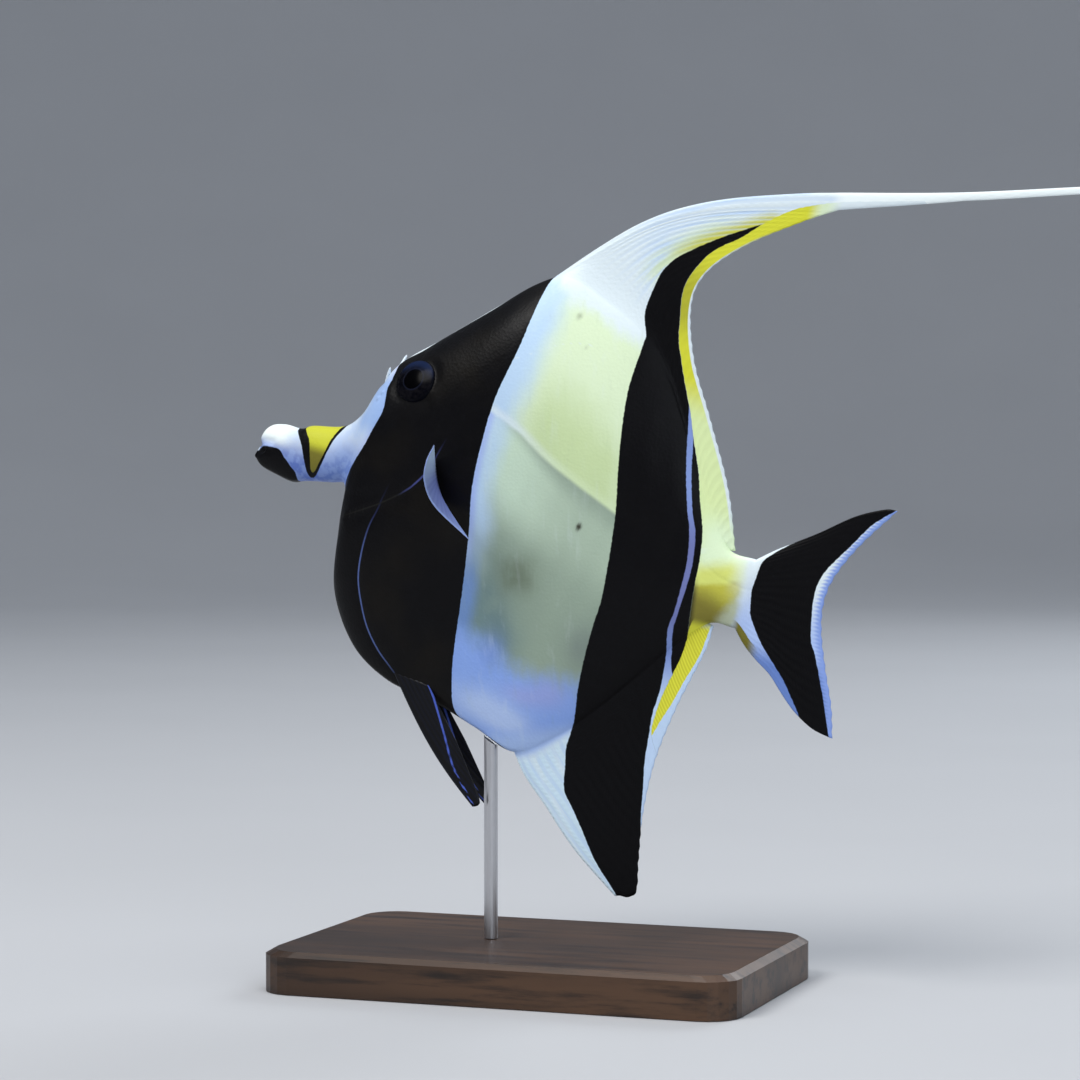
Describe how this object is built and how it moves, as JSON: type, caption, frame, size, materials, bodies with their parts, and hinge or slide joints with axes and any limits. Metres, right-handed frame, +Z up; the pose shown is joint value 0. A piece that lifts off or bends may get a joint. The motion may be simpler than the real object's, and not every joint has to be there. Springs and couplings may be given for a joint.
{
  "type": "moorish idol fish",
  "caption": "Still, life-size museum model of a moorish idol fish with a long dorsal streamer, held by a rod on a plain flat base.",
  "frame": {"origin": "centre of the base's underside, which rests on the floor", "axes": "+Z up out of the base; the fish faces -X with its left side towards -Y, so the streamer trails to +X"},
  "size_m": [0.3147, 0.0924, 0.2243],
  "materials": {
    "skin": "satin painted fish skin, white and pale yellow with two black bars",
    "fin": "satin rayed fin, black with white and yellow edges",
    "eye": "polished dark eye",
    "horn": "pale bone",
    "stand": "dark stained wood, satin",
    "steel": "brushed"
  },
  "bodies": {
    "root": {"lower_jaw": "skin", "upper_jaw": "skin", "snout": "skin", "head": "skin", "trunk": "skin", "tail_stalk": "skin", "dorsal_fin": "fin", "dorsal_streamer_1": "fin", "dorsal_streamer_2": "fin", "dorsal_streamer_3": "fin", "dorsal_streamer_4": "fin", "anal_fin": "fin", "tail_fin": "fin", "pectoral_fin_left": "fin", "pectoral_fin_right": "fin", "pelvic_fin_left": "fin", "pelvic_fin_right": "fin", "eye_left": "eye", "eye_right": "eye", "horn_left": "horn", "horn_right": "horn", "stand_base": "stand", "stand_rod": "steel"}
  },
  "joints": []
}
